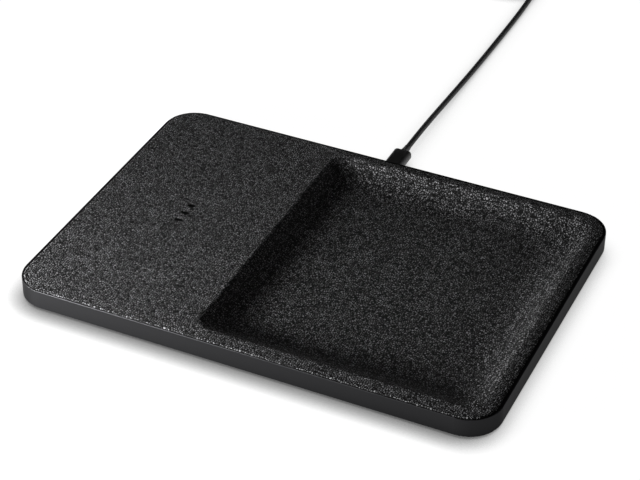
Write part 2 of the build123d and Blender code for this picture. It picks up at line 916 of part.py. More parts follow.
def biarc(start, start_way, end, end_way):
    """Two arcs from start to end that keep both directions and meet in a common tangent."""
    span = end - start
    along = span.dot(start_way + end_way)
    bend = 2 * (1 - start_way.dot(end_way))
    reach = (sqrt(along**2 + bend * span.dot(span)) - along) / bend
    first_corner = start + start_way * reach
    last_corner = end - end_way * reach
    middle = (first_corner + last_corner) * 0.5
    first = TangentArc(start, middle, tangent=start_way)
    last = TangentArc(middle, end, tangent=last_corner - first_corner)
    return [first, last]


def coil_marks():
    """The turns at which one span of the coil ends and the next begins."""
    marks = [0.0]
    for layer in range(layer_count):
        spans = max(1, round(turns_per_layer * spans_per_turn))
        marks += [marks[-1] + turns_per_layer * (step + 1) / spans for step in range(spans)]
        if layer < layer_count - 1:
            spans = max(1, round(climb_turns * spans_per_turn))
            marks += [marks[-1] + climb_turns * (step + 1) / spans for step in range(spans)]
    return marks


def cord_coil():
    """The put-away length, wound as one unbroken tube."""
    marks = coil_marks()
    edges = [Line(coil_start, first_turn_point)]
    for start, end in zip(marks, marks[1:]):
        edges += biarc(coil_point(start), coil_way(start), coil_point(end), coil_way(end))
    edges.append(Line(coil_point(total_turns), coil_end))
    line = Wire(edges)
    return cord_tube(line, coil_start, lead_way), line


# The tail leaves the coil along its last heading
tail_way = coil_way(total_turns)
coil_end = coil_point(total_turns) + tail_way * (2 * cord_radius)


def tail_points():
    """The tail's route in the tray's frame."""
    beside = up.cross(tail_way)
    points = [coil_end]
    for ahead, aside, height in tail_route:
        place = coil_end + tail_way * ahead + beside * aside
        points.append(Vector(place.X, place.Y, height))
    return points


def coil_tie():
    """A strap round the coil's bundle, its loose end lapped along the top."""
    angle = start_angle + 2 * pi * tie_turn
    outward = Vector(cos(angle), sin(angle), 0)
    along = Vector(-sin(angle), cos(angle), 0)
    bundle_inner = coil_inner_radius - reversal_swing - cord_radius
    inner = sqrt(bundle_inner**2 - (tie_width / 2) ** 2) - tie_clearance
    outer = coil_outer_radius + reversal_swing + cord_radius + tie_clearance
    top = coil_start.Z + (layer_count - 1) * layer_pitch + cord_radius + tie_clearance
    width = outer - inner
    height = top - tie_thickness
    middle = coil_middle + outward * ((inner + outer) / 2)
    centre = Vector(middle.X, middle.Y, tie_thickness + height / 2) + along * (tie_width / 2)
    plane = Plane(origin=centre, x_dir=outward, z_dir=-along)
    loop = RectangleRounded(
        width + 2 * tie_thickness,
        height + 2 * tie_thickness,
        tie_round + tie_thickness,
    ) - RectangleRounded(width, height, tie_round)
    lap = Pos(0, height / 2 + tie_thickness * 1.5) * Rectangle(tie_end_length, tie_thickness)
    return extrude(plane * (loop + lap), tie_width)


def far_plane(distance):
    """A section plane of the far plug, so far beyond the end of the tail."""
    points = tail_points()
    way = (points[-1] - points[-2]).normalized()
    return Plane(origin=points[-1] + way * distance, x_dir=way.cross(up), z_dir=way)


def far_relief():
    """The relief behind the far plug's grip, wide end at the grip."""
    face = far_plane(far_relief_length)
    turned_round = Plane(origin=face.origin, x_dir=face.x_dir, z_dir=-face.z_dir)
    return tapered_relief(turned_round, far_relief_root_radius, far_relief_tip_radius, far_relief_length)


def far_grip():
    """The far plug's moulded grip."""
    outline = RectangleRounded(far_grip_width, far_grip_thickness, far_grip_round)
    grip = extrude(outline, far_grip_length)
    ends = grip.edges().group_by(Axis.Z)
    grip = fillet(ends[0] + ends[-1], far_grip_end_round)
    return far_plane(far_relief_length) * grip


def far_shell():
    """The far plug's folded steel shell, with its four latch windows."""
    outline = RectangleRounded(far_shell_width, far_shell_thickness, far_shell_round)
    outline -= Rectangle(far_shell_width - 2 * far_shell_wall, far_shell_thickness - 2 * far_shell_wall)
    shell = extrude(outline, far_shell_length)
    for side in (-1, 1):
        window = extrude(Rectangle(far_window, far_shell_thickness + cut_overrun), far_window)
        shell -= Pos(side * far_window_spread / 2, 0, far_window_setback) * window
    return far_plane(far_relief_length + far_grip_length) * shell


def far_insert():
    """The far plug's insulator, on the floor of its shell."""
    width = far_shell_width - 2 * (far_shell_wall + far_insert_clearance)
    floor = far_shell_wall + far_insert_clearance - far_shell_thickness / 2
    block = extrude(Rectangle(width, far_insert_thickness), far_shell_length - far_insert_setback)
    block = Pos(0, floor + far_insert_thickness / 2, 0) * block
    return far_plane(far_relief_length + far_grip_length) * block


def least_coil_gap():
    """The least distance between two of the coil's turns, less the section's widest diameter."""
    steps = int(total_turns * gap_samples_per_turn)
    points = [coil_point(total_turns * step / steps) for step in range(steps + 1)]
    apart = gap_samples_per_turn // 2
    near = min(
        (points[later] - points[earlier]).length
        for earlier in range(len(points))
        for later in range(earlier + apart, len(points))
    )
    return near - 2 * cord_radius / cos(pi / cord_sides)


def report_cord(name, solid, line):
    """Print a stretch's length and how its volume compares with its section times its length."""
    section = cord_sides * cord_radius**2 * tan(pi / cord_sides)
    print(name, "length", round(line.length, 1), "volume over section times length",
          round(solid.volume / (section * line.length), 4))


lead_solid, lead_line = cord_run(lead_route)
coil_solid, coil_line = cord_coil()
tail_solid, tail_line = cord_run([tuple(point) for point in tail_points()])
print("lead radii", [round(radius) for radius in corner_radii(lead_route)])
print("tail radii", [round(radius) for radius in corner_radii([tuple(point) for point in tail_points()])])
print("tightest turn of the coil", round(coil_inner_radius - reversal_swing, 2))
print("least gap in the coil", round(least_coil_gap(), 3))
report_cord("cord_lead", lead_solid, lead_line)
report_cord("cord_coil", coil_solid, coil_line)
report_cord("cord_tail", tail_solid, tail_line)
print("cord in all", round(lead_line.length + coil_line.length + tail_line.length, 1))

relief_plane = Plane(origin=(0, grip_back, port_height), x_dir=(1, 0, 0), z_dir=(0, 1, 0))

nodes = {
    "leather_cover": leather_cover(),
    "top_panel": top_panel(),
    "side_frame": side_frame(),
    "base_plate": base_plate(),
    "rubber_feet": rubber_feet(),
    "base_screws": base_screws(),
    "charging_coil_front": charging_coil(-coil_pitch, low_coil_bottom),
    "charging_coil_rear": charging_coil(coil_pitch, low_coil_bottom),
    "charging_coil_middle": charging_coil(0, high_coil_bottom),
    "ferrite_sheet": ferrite_sheet(),
    "coil_holder": coil_holder(),
    "coil_thermistor": coil_thermistor(),
    "coil_leads": coil_leads(),
    "small_screws": small_screws(),
    "main_board": main_board(),
    "controller_chip": on_board(chip_share, chip_size_shares, chip_height),
    "bridge_transistors": [
        on_board(share, transistor_size_shares, transistor_height) for share in transistor_shares
    ],
    "tank_capacitors": [
        on_board(share, tank_capacitor_size_shares, tank_capacitor_height)
        for share in tank_capacitor_shares
    ],
    "power_inductor": power_inductor(),
    "bulk_capacitor": bulk_capacitor(),
    "coil_terminal": coil_terminal(),
    "power_header": power_header(),
    "power_lead": power_lead(),
    "port_header": port_header(),
    "port_board": port_board(),
    "port_shell": port_shell(),
    "port_tongue": port_tongue(),
    "plug_shell": plug_shell(),
    "plug_insert": plug_insert(),
    "plug_grip": plug_grip(),
    "plug_relief": tapered_relief(relief_plane, relief_root_radius, relief_tip_radius, relief_length),
    "cord_lead": lead_solid,
    "cord_coil": coil_solid,
    "coil_tie": coil_tie(),
    "cord_tail": tail_solid,
    "far_plug_relief": far_relief(),
    "far_plug_grip": far_grip(),
    "far_plug_shell": far_shell(),
    "far_plug_insert": far_insert(),
}

os.makedirs("parts", exist_ok=True)
for name, shape in nodes.items():
    solids = shape if isinstance(shape, list) else [shape]
    pieces = [solid for piece in solids for solid in piece.solids()]
    export_step(pieces[0] if len(pieces) == 1 else Compound(pieces), f"parts/{name}.step")
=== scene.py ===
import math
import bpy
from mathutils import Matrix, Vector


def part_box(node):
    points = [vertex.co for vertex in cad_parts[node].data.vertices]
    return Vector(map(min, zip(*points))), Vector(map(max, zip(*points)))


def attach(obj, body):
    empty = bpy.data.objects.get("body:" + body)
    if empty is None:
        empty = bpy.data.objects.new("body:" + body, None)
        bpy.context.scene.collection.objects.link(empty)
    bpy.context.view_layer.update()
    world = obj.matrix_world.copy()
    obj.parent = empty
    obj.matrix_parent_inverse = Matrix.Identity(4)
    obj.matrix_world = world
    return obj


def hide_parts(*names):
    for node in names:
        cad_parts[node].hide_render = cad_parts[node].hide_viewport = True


bl_info = {
    "name": "Charging Tray Finish",
    "version": (1, 0, 0),
    "blender": (4, 5, 0),
    "location": "View3D > Sidebar > Charging Tray",
    "description": "Dresses a leather-covered charging tray and its lead, and lights it",
    "category": "Object",
}

import bpy
import numpy as np
from mathutils import Matrix, Vector

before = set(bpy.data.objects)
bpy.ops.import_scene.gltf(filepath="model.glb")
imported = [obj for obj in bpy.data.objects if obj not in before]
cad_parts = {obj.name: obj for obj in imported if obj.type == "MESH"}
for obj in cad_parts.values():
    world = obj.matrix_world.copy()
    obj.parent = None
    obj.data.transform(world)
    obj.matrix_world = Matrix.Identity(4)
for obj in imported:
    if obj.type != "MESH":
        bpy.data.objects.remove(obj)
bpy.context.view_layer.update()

# One millimetre in metres, the unit of the scene
MM = 0.001

# The hide's box in the CAD, and the height just over the frame's top edge that it laps onto
hide_low, hide_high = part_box("leather_cover")
lap_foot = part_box("side_frame")[1].z + 0.05 * MM

# Half the cord's diameter
cord_radius = 1.6 * MM


def srgb(code):
    """A linear colour with alpha from an sRGB hex code, by the sRGB transfer curve."""
    linear = []
    for start in (0, 2, 4):
        part = int(code[start:start + 2], 16) / 255
        linear.append(part / 12.92 if part <= 0.04045 else ((part + 0.055) / 1.055) ** 2.4)
    return (*linear, 1.0)


class HideSettings(bpy.types.PropertyGroup):
    """The leather over pad and dish."""

    pebble: bpy.props.FloatProperty(
        name="Pebble size", description="Spacing of the embossed grain",
        default=1.15 * MM, min=0.2 * MM, unit="LENGTH")
    grain_depth: bpy.props.FloatProperty(
        name="Grain depth", description="Height of a pebble over the crease beside it",
        default=0.12 * MM, min=0, unit="LENGTH")
    # The crest colour is a painted highlight on the pebbles' tops, far lighter than the black hide
    crest: bpy.props.FloatVectorProperty(
        name="Crest colour", description="Colour of the tops of the grain",
        default=srgb("949496"), size=4, subtype="COLOR", min=0, max=1)
    # The crease colour is the hide's own black, with painted shade in the creases
    crease: bpy.props.FloatVectorProperty(
        name="Crease colour", description="Colour between the pebbles",
        default=srgb("000000"), size=4, subtype="COLOR", min=0, max=1)
    roll_tight: bpy.props.FloatProperty(
        name="Tight edge roll",
        description="Width over which the hide turns down at the front and the pad",
        default=1.1 * MM, min=0.2 * MM, unit="LENGTH")
    roll_wide: bpy.props.FloatProperty(
        name="Wide edge roll",
        description="Width over which the hide turns down right of and behind the dish",
        default=6.5 * MM, min=0.2 * MM, unit="LENGTH")


class LeadSettings(bpy.types.PropertyGroup):
    """The detachable lead."""

    radius: bpy.props.FloatProperty(
        name="Cord radius", description="Half the cord's diameter",
        default=cord_radius, min=0.5 * MM, unit="LENGTH")
    length: bpy.props.FloatProperty(
        name="Cord length", description="The cord's length from plug to plug",
        default=1429 * MM, min=0.3, unit="LENGTH")
    jacket: bpy.props.FloatVectorProperty(
        name="Jacket colour", description="Colour of the cord's jacket",
        default=srgb("3c3c3e"), size=4, subtype="COLOR", min=0, max=1)


class StageSettings(bpy.types.PropertyGroup):
    """Camera and light."""

    azimuth: bpy.props.FloatProperty(
        name="Azimuth", description="Turn of the camera from the tray's front towards its right",
        default=math.radians(24.204), subtype="ANGLE")
    elevation: bpy.props.FloatProperty(
        name="Elevation", description="Angle of the camera over the table",
        default=math.radians(35.692), subtype="ANGLE")
    roll: bpy.props.FloatProperty(
        name="Roll", description="Turn of the camera about its own axis",
        default=math.radians(0.842), subtype="ANGLE")
    distance: bpy.props.FloatProperty(
        name="Distance", description="From the camera to the point it looks at",
        default=1076.3 * MM, unit="LENGTH")
    target: bpy.props.FloatVectorProperty(
        name="Target", description="The point on the table in the middle of the picture",
        default=(-10.34 * MM, 23.95 * MM, 0), size=3, subtype="TRANSLATION")
    focal_length: bpy.props.FloatProperty(
        name="Focal length", description="In millimetres on a sensor 36 mm wide", default=113.88)
    floor: bpy.props.FloatVectorProperty(
        name="Floor colour", description="How much of the lamps' light the floor throws back",
        default=srgb("404040"), size=4, subtype="COLOR", min=0, max=1)


# Nodes and meshes


def add_node(tree, kind, settings=None, inputs=None, links=None):
    """Adds a node with its settings and input values, and links other nodes' sockets to it."""
    node = tree.nodes.new(kind)
    for name, value in (settings or {}).items():
        setattr(node, name, value)
    for name, value in (inputs or {}).items():
        node.inputs[name].default_value = value
    for name, source in (links or {}).items():
        tree.links.new(source, node.inputs[name])
    return node


def start_material(name, **values):
    """A new material with one Principled shader, whose constants are set on its own sockets."""
    material = bpy.data.materials.new(name)
    material.use_nodes = True
    tree = material.node_tree
    tree.nodes.clear()
    shader = add_node(tree, "ShaderNodeBsdfPrincipled", inputs=values)
    add_node(tree, "ShaderNodeOutputMaterial", links={"Surface": shader.outputs["BSDF"]})
    return material, tree, shader


def grain(tree, shader, size, depth, tones=None, rough=None):
    """A fine irregular grain on a piece: noise of one size as relief, tone and roughness. Where the
    real grit is finer than a render can show, its size is as coarse as it needs to be to show."""
    place = add_node(tree, "ShaderNodeTexCoord")
    noise = add_node(
        tree, "ShaderNodeTexNoise",
        inputs={"Scale": 1 / size, "Detail": 3.0, "Roughness": 0.55},
        links={"Vector": place.outputs["Object"]})
    relief = add_node(
        tree, "ShaderNodeBump", inputs={"Distance": depth},
        links={"Height": noise.outputs["Fac"]})
    tree.links.new(relief.outputs["Normal"], shader.inputs["Normal"])
    if tones:
        mix = add_node(
            tree, "ShaderNodeMix", settings={"data_type": "RGBA"},
            inputs={6: tones[0], 7: tones[1]}, links={0: noise.outputs["Fac"]})
        tree.links.new(mix.outputs[2], shader.inputs["Base Color"])
    if rough:
        spread = add_node(
            tree, "ShaderNodeMapRange", inputs={"To Min": rough[0], "To Max": rough[1]},
            links={"Value": noise.outputs["Fac"]})
        tree.links.new(spread.outputs["Result"], shader.inputs["Roughness"])


def make_piece(name, points, quads, material):
    """A smooth-shaded mesh object at the origin from arrays of points in metres and quads."""
    mesh = bpy.data.meshes.new(name)
    mesh.from_pydata(points, [], quads)
    mesh.validate()
    mesh.shade_smooth()
    mesh.materials.append(material)
    piece = bpy.data.objects.new(name, mesh)
    bpy.context.scene.collection.objects.link(piece)
    return piece


def dress(nodes, material):
    """Gives CAD nodes a material in their own slots."""
    for name in nodes:
        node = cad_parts[name]
        node.data.materials.clear()
        node.data.materials.append(material)


# The hide: one sheet over pad and dish, as a height over a grid that follows the tray's outline

# Outline of the hide where it is tucked in beside the frame
tuck_half = ((hide_high.x - hide_low.x) / 2, (hide_high.y - hide_low.y) / 2)
tuck_corner = 15.2 * MM

# Outline of the hide's face, which laps onto the frame's top edge, most at the front
hide_lap = 0.8 * MM
front_lap = 2.1 * MM
hide_half = (tuck_half[0] + hide_lap, tuck_half[1] + (hide_lap + front_lap) / 2)
hide_middle = (hide_lap - front_lap) / 2
hide_corner = tuck_corner + hide_lap

# Thickness of the hide, its clearance, its tucked edge, and the dish in it
hide_thickness = 1.0 * MM
hide_gap = 0.05 * MM
tuck_width = 0.8 * MM
tuck_foot = 9.95 * MM + hide_gap
dish_left = -30.0 * MM
dish_right = 122.5 * MM
dish_front = -84.75 * MM
dish_back = 87.0 * MM
dish_depth = 6.0 * MM
dish_run = 21.0 * MM
dish_lip = 4.0 * MM

# Corner radii at the dish's outline, left and right, and how much of the inset widens them
front_corners = (8 * MM, 11 * MM)
back_corners = (6 * MM, 11 * MM)
corner_widening = 0.5

# The three pressed marks in the middle of the pad, each a slot with a soft edge
mark_shift = 0.9 * MM
mark_spacing = 7.3 * MM
mark_x = (hide_low.x + dish_left) / 2 + mark_shift
mark_places = (-mark_spacing, 0.0, mark_spacing)
mark_length = 4.5 * MM
mark_width = 3.0 * MM
mark_depth = 0.5 * MM
mark_spread = 0.15 * MM
mark_soft_edge = 0.5 * MM

# Where the rolled edge changes from tight to wide: over a width in from the dish's left side, and
# over a width that starts a little behind the front
widening_beside = 14 * MM
widening_start = 3 * MM
widening_behind = 22 * MM

# Spacings of the hide's grid lines, and the bands in which they lie closer
coarse_step = 2.2 * MM
fine_step = 0.7 * MM
mark_step = 0.35 * MM
edge_step = 0.25 * MM
rim_band = 4.0 * MM
mark_band = 3.0 * MM
marks_band = 10.0 * MM
band_before_lip = 2.0 * MM
band_past_lip = 12.0 * MM
corner_band = 6.0 * MM


def cornered_inset(across, along, radius):
    """Inset between two walls that meet in an arc. Where the distances in from the walls, a and b,
    differ by less than r, it is (a + b + sqrt(2 r^2 - (a - b)^2)) / 2 - r, and else the smaller."""
    apart = np.abs(across - along)
    on_arc = (across + along + np.sqrt(np.maximum(2 * radius**2 - apart**2, 0))) / 2 - radius
    return np.where(apart < radius, on_arc, np.minimum(across, along))


def dish_inset(x, y):
    """Distance in from the dish's outline. A first pass takes each corner's own radius, a second
    one that radius widened by the first pass's inset, so the corners soften towards the floor."""
    across = np.minimum(x - dish_left, dish_right - x)
    along = np.minimum(y - dish_front, dish_back - y)
    on_left = x < (dish_left + dish_right) / 2
    at_front = y < (dish_front + dish_back) / 2
    radius = np.where(
        at_front, np.where(on_left, *front_corners), np.where(on_left, *back_corners))
    first = cornered_inset(across, along, radius)
    return cornered_inset(across, along, radius + corner_widening * np.maximum(first, 0))


def dish_drop(inset):
    """Depth under the pad at an inset: a small arc over the lip, then a large one to the floor."""
    bowl = (dish_run**2 + dish_depth**2) / (2 * dish_depth) - dish_lip
    lip_end = dish_lip * dish_run / (dish_lip + bowl)
    on_lip = dish_lip - np.sqrt(dish_lip**2 - np.clip(inset, 0, lip_end) ** 2)
    rest = np.clip(dish_run - inset, 0, dish_run - lip_end)
    on_bowl = dish_depth - bowl + np.sqrt(bowl**2 - rest**2)
    return np.where(inset < lip_end, on_lip, on_bowl)


def smooth_step(value):
    """A share from 0 to 1 that starts and ends level."""
    share = np.clip(value, 0, 1)
    return share * share * (3 - 2 * share)


def mark_press(x, y):
    """How deep a mark is pressed at each point, 0 to 1: a slot with a soft edge all round."""
    press = np.zeros_like(x)
    for place in mark_places:
        beside = np.maximum(np.abs(x - mark_x) - (mark_length - mark_width) / 2, 0)
        inside = mark_width / 2 + mark_spread - np.hypot(beside, y - place)
        press = np.maximum(press, smooth_step(inside / mark_soft_edge))
    return press


def edge_inset(x, y, half, corner):
    """Distance in from a rounded outline: straight to the nearer side, or to a corner's arc."""
    out_x = np.maximum(np.abs(x) - (half[0] - corner), 0)
    out_y = np.maximum(np.abs(y) - (half[1] - corner), 0)
    flat = np.minimum(half[0] - np.abs(x), half[1] - np.abs(y))
    return np.where((out_x > 0) & (out_y > 0), corner - np.hypot(out_x, out_y), flat)


def rolled_edge(x, y, settings):
    """Drop of the hide's outer edge: a quarter ellipse down to just over the frame, tight at the
    front and round the pad, and wide right of the dish and behind it."""
    beside = smooth_step((x - dish_left) / widening_beside)
    behind = smooth_step((y - hide_middle + hide_half[1] - widening_start) / widening_behind)
    width = settings.roll_tight + (settings.roll_wide - settings.roll_tight) * beside * behind
    up = np.clip(1 - edge_inset(x, y - hide_middle, hide_half, hide_corner) / width, 0, 1)
    return (hide_high.z - lap_foot - hide_gap) * (1 - np.sqrt(1 - up**2))


def grid_lines(bands):
    """Grid lines from bands of start, end and spacing, each band evenly divided, and rounded to a
    tenth of a micrometre, so that the line which two bands share counts once."""
    lines = []
    for start, end, step in bands:
        count = max(2, round((end - start) / step) + 1)
        lines.append(np.linspace(start, end, count))
    return np.unique(np.round(np.concatenate(lines), 7))


def round_corners(x, y, half, radius):
    """Bends a square-cornered grid onto a rounded outline: in each corner's square a point keeps
    the larger of its two distances from the corner's axis as its distance along the radius."""
    out_x = np.maximum(np.abs(x) - (half[0] - radius), 0)
    out_y = np.maximum(np.abs(y) - (half[1] - radius), 0)
    reach = np.maximum(out_x, out_y)
    length = np.hypot(out_x, out_y)
    shrink = np.divide(reach, length, out=np.ones_like(reach), where=length > 0)
    bent_x = np.sign(x) * (np.minimum(np.abs(x), half[0] - radius) + out_x * shrink)
    bent_y = np.sign(y) * (np.minimum(np.abs(y), half[1] - radius) + out_y * shrink)
    return bent_x, bent_y


def grid_quads(rows, columns, first, flip):
    """Quads between the points of a grid whose first point has the number first."""
    index = first + np.arange(rows * columns).reshape(rows, columns)
    corners = [index[:-1, :-1], index[1:, :-1], index[1:, 1:], index[:-1, 1:]]
    quads = np.stack(corners, axis=-1).reshape(-1, 4)
    return quads[:, ::-1] if flip else quads


def grid_border(rows, columns, first):
    """Numbers of a grid's border points, once round."""
    index = first + np.arange(rows * columns).reshape(rows, columns)
    sides = [index[:-1, 0], index[-1, :-1], index[:0:-1, -1], index[0, :0:-1]]
    return np.concatenate(sides)


def ring_quads(upper, lower):
    """Quads between two closed rings of point numbers."""
    return np.stack([upper, np.roll(upper, -1), np.roll(lower, -1), lower], axis=-1)


def hide_grid():
    """X and Y of a grid over the face's outline with square corners: closest at the rim and over
    the marks, close over the dish's lip and the corners, and coarse in between."""
    half_x, half_y = hide_half
    straight_x = half_x - hide_corner
    straight_y = half_y - hide_corner
    lines_x = grid_lines((
        (-half_x, rim_band - half_x, edge_step),
        (rim_band - half_x, -straight_x, fine_step * 2),
        (-straight_x, mark_x - mark_band, coarse_step),
        (mark_x - mark_band, mark_x + mark_band, mark_step),
        (mark_x + mark_band, dish_left - band_before_lip, coarse_step),
        (dish_left - band_before_lip, dish_left + band_past_lip, fine_step),
        (dish_left + band_past_lip, straight_x - corner_band, coarse_step),
        (straight_x - corner_band, half_x - rim_band, fine_step),
        (half_x - rim_band, half_x, edge_step),
    ))
    lines_y = grid_lines((
        (-half_y, rim_band - half_y, edge_step),
        (rim_band - half_y, corner_band - straight_y, fine_step),
        (corner_band - straight_y, -marks_band, coarse_step),
        (-marks_band, marks_band, mark_step),
        (marks_band, straight_y - corner_band, coarse_step),
        (straight_y - corner_band, half_y - rim_band, fine_step),
        (half_y - rim_band, half_y, edge_step),
    ))
    return np.meshgrid(lines_x, lines_y, indexing="ij")


def hide_face(grid_x, grid_y, settings):
    """Points of the face: the grid bent onto the face's outline. Its height is the top of the hide
    less the dish's drop, the pressed marks and the rolled edge."""
    x, y = round_corners(grid_x, grid_y, hide_half, hide_corner)
    y = y + hide_middle
    drop = dish_drop(dish_inset(x, y)) + mark_depth * mark_press(x, y)
    z = hide_high.z - drop - rolled_edge(x, y, settings)
    return np.stack([x, y, z], axis=-1).reshape(-1, 3)


def hide_back(grid_x, grid_y):
    """Points of the back: the grid drawn in by one edge step. It lies on the frame's top edge, then
    is tucked down between frame and panel, and inside that runs one thickness under the dish."""
    half_x, half_y = hide_half
    inner = (half_x - edge_step, half_y - edge_step)
    x, y = round_corners(
        grid_x * inner[0] / half_x, grid_y * inner[1] / half_y, inner, hide_corner - edge_step)
    y = y + hide_middle
    inset = edge_inset(x, y, tuck_half, tuck_corner)
    under = hide_high.z - dish_drop(dish_inset(x, y)) - hide_thickness
    tucked = np.where(inset < tuck_width, tuck_foot, under)
    z = np.where(inset < 0, lap_foot, tucked)
    return np.stack([x, y, z], axis=-1).reshape(-1, 3)


def hide_shape(settings):
    """The hide as a closed sheet, with how far each point is pressed by a mark: its face, its back
    on the same grid, and round both a narrow wall that stands just over the frame."""
    grid_x, grid_y = hide_grid()
    rows, columns = grid_x.shape
    count = rows * columns
    face = hide_face(grid_x, grid_y, settings)
    back = hide_back(grid_x, grid_y)
    face_border = grid_border(rows, columns, 0)
    back_border = grid_border(rows, columns, count)
    foot = face[face_border]
    foot[:, 2] = lap_foot
    foot_ring = 2 * count + np.arange(len(face_border))
    points = np.concatenate([face, back, foot])
    quads = np.concatenate([
        grid_quads(rows, columns, 0, False),
        grid_quads(rows, columns, count, True),
        ring_quads(foot_ring, face_border)[:, ::-1],
        ring_quads(back_border, foot_ring)[:, ::-1],
    ])
    press = np.zeros(len(points), np.float32)
    press[:count] = mark_press(face[:, 0], face[:, 1])
    return points, quads, press


# The grain, as distances from a pebble's edge: where the crease ends and where the crest starts
crease_end = 0.12
crest_start = 0.3
cell_randomness = 0.85

# Waves of the cells' wandering and pores to one pebble's width, and a pore's height over a pebble's
wander_rate = 0.45
pore_rate = 3
pore_height = 0.35

# The least share of its painted highlight that a pebble takes, the relief left in a mark, and how
# rough the leather is
faintest_pebble_highlight = 0.1
pressed_relief = 0.1
crease_rough = 0.7
crest_rough = 0.42


def pebble_cells(tree, settings, place):
    """The grain's two patterns over the same wandering cells: the dome of each pebble, 0 in its
    crease and 1 on its crest, and one random tone for each pebble."""
    wander = add_node(
        tree, "ShaderNodeTexNoise", settings={"normalize": True},
        inputs={"Scale": wander_rate / settings.pebble, "Detail": 2.0}, links={"Vector": place})
    bent = add_node(
        tree, "ShaderNodeVectorMath", settings={"operation": "MULTIPLY_ADD"},
        inputs={1: (settings.pebble,) * 3}, links={0: wander.outputs["Color"], 2: place})
    layout = {"Scale": 1 / settings.pebble, "Randomness": cell_randomness}
    edges = add_node(
        tree, "ShaderNodeTexVoronoi", settings={"feature": "DISTANCE_TO_EDGE"},
        inputs=layout, links={"Vector": bent.outputs["Vector"]})
    dome = add_node(
        tree, "ShaderNodeMapRange", settings={"interpolation_type": "SMOOTHSTEP"},
        inputs={"From Min": crease_end, "From Max": crest_start},
        links={"Value": edges.outputs["Distance"]})
    pebbles = add_node(
        tree, "ShaderNodeTexVoronoi", settings={"feature": "F1"},
        inputs=layout, links={"Vector": bent.outputs["Vector"]})
    own = add_node(tree, "ShaderNodeSeparateColor", links={"Color": pebbles.outputs["Color"]})
    return dome.outputs["Result"], own.outputs["Red"]


def pebbled_leather(settings):
    """Drum-dyed cow hide with an embossed pebble grain and a thin satin finish coat: black, with
    painted highlights on the pebbles' tops, some stronger than others, and painted shade in the
    creases between."""
    material, tree, shader = start_material(
        "pebbled_leather", IOR=1.5, **{"Specular IOR Level": 0.25})
    place = add_node(tree, "ShaderNodeTexCoord").outputs["Object"]
    dome, own = pebble_cells(tree, settings, place)

    # Relief: the domes with fine pores, nearly flat where a mark is pressed
    pores = add_node(
        tree, "ShaderNodeTexNoise", inputs={"Scale": pore_rate / settings.pebble, "Detail": 3.0},
        links={"Vector": place})
    relief = add_node(
        tree, "ShaderNodeMath", settings={"operation": "MULTIPLY_ADD"},
        inputs={1: pore_height}, links={0: pores.outputs["Fac"], 2: dome})
    pressed = add_node(tree, "ShaderNodeAttribute", settings={"attribute_name": "pressed"})
    kept = add_node(
        tree, "ShaderNodeMapRange", inputs={"To Min": 1.0, "To Max": pressed_relief},
        links={"Value": pressed.outputs["Fac"]})
    bump = add_node(
        tree, "ShaderNodeBump", inputs={"Distance": settings.grain_depth},
        links={"Height": relief.outputs["Value"], "Strength": kept.outputs["Result"]})

    # Colour: from painted shade in the crease to a painted highlight on the crest, as far as each
    # pebble takes it, and near black in a mark
    highlight_share = add_node(
        tree, "ShaderNodeMapRange", inputs={"To Min": faintest_pebble_highlight, "To Max": 1.0},
        links={"Value": own})
    shine = add_node(
        tree, "ShaderNodeMath", settings={"operation": "MULTIPLY"},
        links={0: dome, 1: highlight_share.outputs["Result"]})
    tone = add_node(
        tree, "ShaderNodeMix", settings={"data_type": "RGBA"},
        inputs={6: tuple(settings.crease), 7: tuple(settings.crest)},
        links={0: shine.outputs["Value"]})
    shade = add_node(
        tree, "ShaderNodeMix", settings={"data_type": "RGBA"},
        inputs={7: srgb("050505")}, links={0: pressed.outputs["Fac"], 6: tone.outputs[2]})
    gloss = add_node(
        tree, "ShaderNodeMapRange", inputs={"To Min": crease_rough, "To Max": crest_rough},
        links={"Value": dome})
    tree.links.new(shade.outputs[2], shader.inputs["Base Color"])
    tree.links.new(gloss.outputs["Result"], shader.inputs["Roughness"])
    tree.links.new(bump.outputs["Normal"], shader.inputs["Normal"])
    return material


class TRAY_OT_hide(bpy.types.Operator):
    """Lays the leather over the pad and the dish"""

    bl_idname = "tray.hide"
    bl_label = "Lay the Leather"

    def execute(self, context):
        settings = context.scene.tray_hide
        points, quads, press = hide_shape(settings)
        piece = make_piece("leather_hide", points, quads, pebbled_leather(settings))
        mesh = piece.data
        if len(mesh.vertices) != len(press):
            raise RuntimeError("the hide's mesh lost points")
        mesh.attributes.new("pressed", "FLOAT", "POINT").data.foreach_set("value", press)
        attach(piece, "tray")
        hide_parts("leather_cover")
        return {"FINISHED"}


# The shell: frame, moulded panel, base, feet and screws


def anodised_frame():
    """Aluminium ring, bead-blasted, anodised and dyed near black: an even satin that mirrors the
    table softly, hardly more at a glance than face on, because the dye takes most of the light."""
    material, tree, shader = start_material(
        "black_anodised_aluminium", Metallic=1.0,
        **{"Base Color": srgb("29292a"), "Specular Tint": srgb("bcbcbc")})
    grain(tree, shader, size=0.35 * MM, depth=0.012 * MM, rough=(0.42, 0.5))
    return material


def moulded_abs():
    """Black ABS from a spark-eroded mould: matt, with a fine even texture."""
    material, tree, shader = start_material("moulded_abs", IOR=1.53)
    grain(tree, shader, size=0.8 * MM, depth=0.03 * MM,
          tones=(srgb("141415"), srgb("222223")), rough=(0.5, 0.65))
    return material


def foot_rubber():
    """Nitrile rubber, die cut: dull, slightly dusty black."""
    material, tree, shader = start_material("nitrile_rubber", IOR=1.52)
    grain(tree, shader, size=0.6 * MM, depth=0.04 * MM,
          tones=(srgb("161616"), srgb("2a2a2a")), rough=(0.75, 0.9))
    return material


def plated_steel():
    """Black zinc-plated steel screws: dark metal with a soft shine."""
    material, tree, shader = start_material("black_zinc_steel", Metallic=1.0)
    grain(tree, shader, size=0.3 * MM, depth=0.01 * MM,
          tones=(srgb("3a3b3d"), srgb("58595c")), rough=(0.3, 0.45))
    return material


